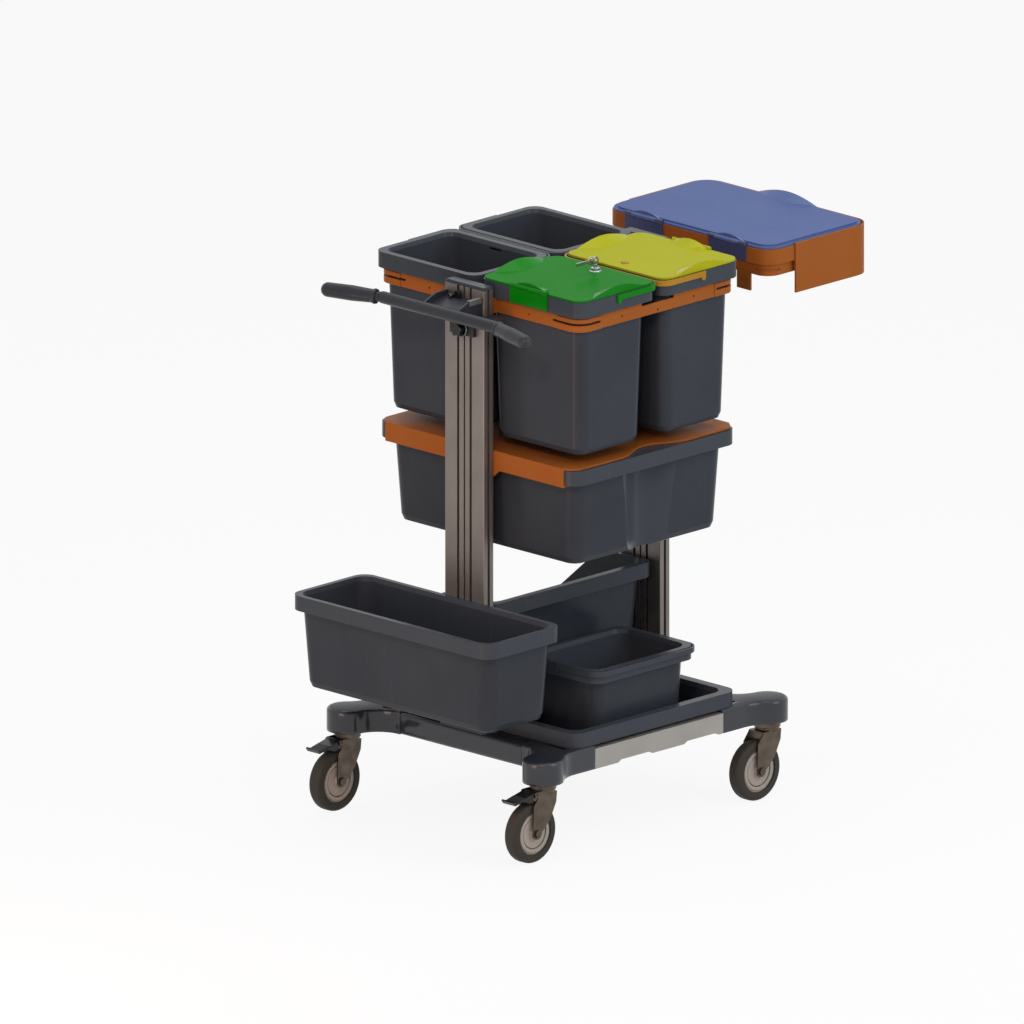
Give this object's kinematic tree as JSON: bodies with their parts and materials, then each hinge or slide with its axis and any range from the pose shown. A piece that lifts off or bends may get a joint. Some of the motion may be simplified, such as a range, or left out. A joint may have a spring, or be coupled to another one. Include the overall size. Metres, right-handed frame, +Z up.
{
  "type": "janitor cart",
  "caption": "Modular cleaning cart on casters with slotted posts, hung trays, lift-out buckets with hinged lids, a drawer, a push handle and a lidded bag holder.",
  "frame": {"origin": "on the floor, midway between the two posts and on the cart's middle plane", "axes": "+X from the push handle towards the bag holder, +Y to the left of the user, +Z up"},
  "size_m": [1.1536, 0.634, 1.1763],
  "materials": {
    "graphite": "satin moulded polypropylene",
    "casting": "glossy moulded nylon",
    "rail": "satin anodised extrusion",
    "post": "satin anodised extrusion",
    "fork": "zinc plated pressed steel",
    "hub": "satin moulded nylon",
    "tyre": "smooth non-marking rubber",
    "orange": "satin moulded polypropylene",
    "green": "glossy moulded polypropylene",
    "yellow": "glossy moulded polypropylene",
    "blue": "satin moulded polypropylene",
    "plated": "bright nickel plate",
    "handle": "satin moulded grip"
  },
  "bodies": {
    "chassis": {"casting_front_left": "casting", "casting_front_right": "casting", "casting_rear_left": "casting", "casting_rear_right": "casting", "side_rails": "rail", "end_bars": "casting", "base_tray": "graphite", "post_front": "post", "post_rear": "post", "post_caps": "graphite", "post_feet": "graphite", "caster_stems": "fork", "front_bin_hanger": "graphite", "side_bin": "graphite", "drawer_shelf": "orange", "bucket_frame": "orange", "bag_arm": "orange", "bag_frame": "orange", "bag_ring": "orange", "bag_skirt": "orange", "bag_hinges": "blue"},
    "caster_front_left": {"fork_front_left": "fork"},
    "wheel_front_left": {"hub_front_left": "hub", "tyre_front_left": "tyre"},
    "caster_front_right": {"fork_front_right": "fork"},
    "wheel_front_right": {"hub_front_right": "hub", "tyre_front_right": "tyre"},
    "caster_rear_left": {"fork_rear_left": "fork"},
    "wheel_rear_left": {"hub_rear_left": "hub", "tyre_rear_left": "tyre"},
    "caster_rear_right": {"fork_rear_right": "fork"},
    "wheel_rear_right": {"hub_rear_right": "hub", "tyre_rear_right": "tyre"},
    "brake_left": {"pedal_left": "fork"},
    "brake_right": {"pedal_right": "fork"},
    "handle": {"handle_bracket": "handle", "handle_bar": "handle", "handle_grips": "handle"},
    "knob": {"handle_knob": "handle"},
    "drawer": {"drawer": "graphite"},
    "front_bin": {"front_bin": "graphite"},
    "small_bucket": {"small_bucket": "graphite"},
    "small_bail": {"small_bail": "graphite"},
    "bucket_front_left": {"bucket_front_left": "graphite"},
    "bail_front_left": {"bail_front_left": "graphite"},
    "bucket_front_right": {"bucket_front_right": "graphite", "green_hinge": "green"},
    "bail_front_right": {"bail_front_right": "green"},
    "bucket_rear_left": {"bucket_rear_left": "graphite"},
    "bail_rear_left": {"bail_rear_left": "graphite"},
    "bucket_rear_right": {"bucket_rear_right": "graphite", "yellow_hinge": "yellow"},
    "bail_rear_right": {"bail_rear_right": "yellow"},
    "green_lid": {"green_lid": "green", "lid_lock": "plated"},
    "lock_key": {"lock_key": "plated"},
    "yellow_lid": {"yellow_lid": "yellow", "lid_plug": "yellow"},
    "bag_lid": {"bag_lid": "blue"}
  },
  "joints": [
    {"name": "swivel_front_left", "type": "hinge", "parent": "chassis", "child": "caster_front_left", "pos_m": [-0.322, 0.275, 0.15], "axis": [0, 0, 1], "continuous": true},
    {"name": "spin_front_left", "type": "hinge", "parent": "caster_front_left", "child": "wheel_front_left", "pos_m": [-0.359, 0.275, 0.0625], "axis": [0, 1, 0], "continuous": true},
    {"name": "swivel_front_right", "type": "hinge", "parent": "chassis", "child": "caster_front_right", "pos_m": [-0.322, -0.275, 0.15], "axis": [0, 0, 1], "continuous": true},
    {"name": "spin_front_right", "type": "hinge", "parent": "caster_front_right", "child": "wheel_front_right", "pos_m": [-0.359, -0.275, 0.0625], "axis": [0, 1, 0], "continuous": true},
    {"name": "swivel_rear_left", "type": "hinge", "parent": "chassis", "child": "caster_rear_left", "pos_m": [0.322, 0.275, 0.15], "axis": [0, 0, 1], "continuous": true},
    {"name": "spin_rear_left", "type": "hinge", "parent": "caster_rear_left", "child": "wheel_rear_left", "pos_m": [0.285, 0.275, 0.0625], "axis": [0, 1, 0], "continuous": true},
    {"name": "swivel_rear_right", "type": "hinge", "parent": "chassis", "child": "caster_rear_right", "pos_m": [0.322, -0.275, 0.15], "axis": [0, 0, 1], "continuous": true},
    {"name": "spin_rear_right", "type": "hinge", "parent": "caster_rear_right", "child": "wheel_rear_right", "pos_m": [0.285, -0.275, 0.0625], "axis": [0, 1, 0], "continuous": true},
    {"name": "brake_left_press", "type": "hinge", "parent": "caster_front_left", "child": "brake_left", "pos_m": [-0.359, 0.275, 0.143], "axis": [0, -1, 0], "range_deg": [0, 15]},
    {"name": "brake_right_press", "type": "hinge", "parent": "caster_front_right", "child": "brake_right", "pos_m": [-0.359, -0.275, 0.143], "axis": [0, -1, 0], "range_deg": [0, 15]},
    {"name": "handle_height", "type": "slide", "parent": "chassis", "child": "handle", "axis": [0, 0, 1], "range_m": [-0.2, 0]},
    {"name": "knob_turn", "type": "hinge", "parent": "handle", "child": "knob", "pos_m": [-0.2756, 0, 1.043], "axis": [1, 0, 0], "continuous": true},
    {"name": "drawer_slide", "type": "slide", "parent": "chassis", "child": "drawer", "axis": [0, 1, 0], "range_m": [-0.35, 0.35]},
    {"name": "front_bin_lift", "type": "slide", "parent": "chassis", "child": "front_bin", "axis": [0, 0, 1], "range_m": [0, 0.25]},
    {"name": "small_bucket_lift", "type": "slide", "parent": "chassis", "child": "small_bucket", "axis": [0, 0, 1], "range_m": [0, 0.1]},
    {"name": "small_bail_swing", "type": "hinge", "parent": "small_bucket", "child": "small_bail", "pos_m": [-0.009, -0.154, 0.3368], "axis": [-1, 0, 0], "range_deg": [0, 100]},
    {"name": "bucket_front_left_lift", "type": "slide", "parent": "chassis", "child": "bucket_front_left", "axis": [0, 0, 1], "range_m": [0, 0.36]},
    {"name": "bail_front_left_swing", "type": "hinge", "parent": "bucket_front_left", "child": "bail_front_left", "pos_m": [-0.1205, 0.1485, 1.1275], "axis": [0, -1, 0], "range_deg": [0, 100]},
    {"name": "bucket_front_right_lift", "type": "slide", "parent": "chassis", "child": "bucket_front_right", "axis": [0, 0, 1], "range_m": [0, 0.36]},
    {"name": "bail_front_right_swing", "type": "hinge", "parent": "bucket_front_right", "child": "bail_front_right", "pos_m": [-0.1205, -0.1485, 1.1275], "axis": [0, -1, 0], "range_deg": [0, 100]},
    {"name": "bucket_rear_left_lift", "type": "slide", "parent": "chassis", "child": "bucket_rear_left", "axis": [0, 0, 1], "range_m": [0, 0.36]},
    {"name": "bail_rear_left_swing", "type": "hinge", "parent": "bucket_rear_left", "child": "bail_rear_left", "pos_m": [0.1205, 0.1485, 1.1275], "axis": [0, 1, 0], "range_deg": [0, 100]},
    {"name": "bucket_rear_right_lift", "type": "slide", "parent": "chassis", "child": "bucket_rear_right", "axis": [0, 0, 1], "range_m": [0, 0.36]},
    {"name": "bail_rear_right_swing", "type": "hinge", "parent": "bucket_rear_right", "child": "bail_rear_right", "pos_m": [0.1205, -0.1485, 1.1275], "axis": [0, 1, 0], "range_deg": [0, 100]},
    {"name": "green_lid_open", "type": "hinge", "parent": "bucket_front_right", "child": "green_lid", "pos_m": [-0.2335, -0.1485, 1.1461], "axis": [0, -1, 0], "range_deg": [0, 105]},
    {"name": "key_turn", "type": "hinge", "parent": "green_lid", "child": "lock_key", "pos_m": [-0.0425, -0.1485, 1.1523], "axis": [0, 0, 1], "range_deg": [0, 90]},
    {"name": "yellow_lid_open", "type": "hinge", "parent": "bucket_rear_right", "child": "yellow_lid", "pos_m": [0.2335, -0.1485, 1.1461], "axis": [0, 1, 0], "range_deg": [0, 105]},
    {"name": "bag_lid_open", "type": "hinge", "parent": "chassis", "child": "bag_lid", "pos_m": [0.369, 0, 1.1221], "axis": [0, -1, 0], "range_deg": [0, 95]}
  ]
}
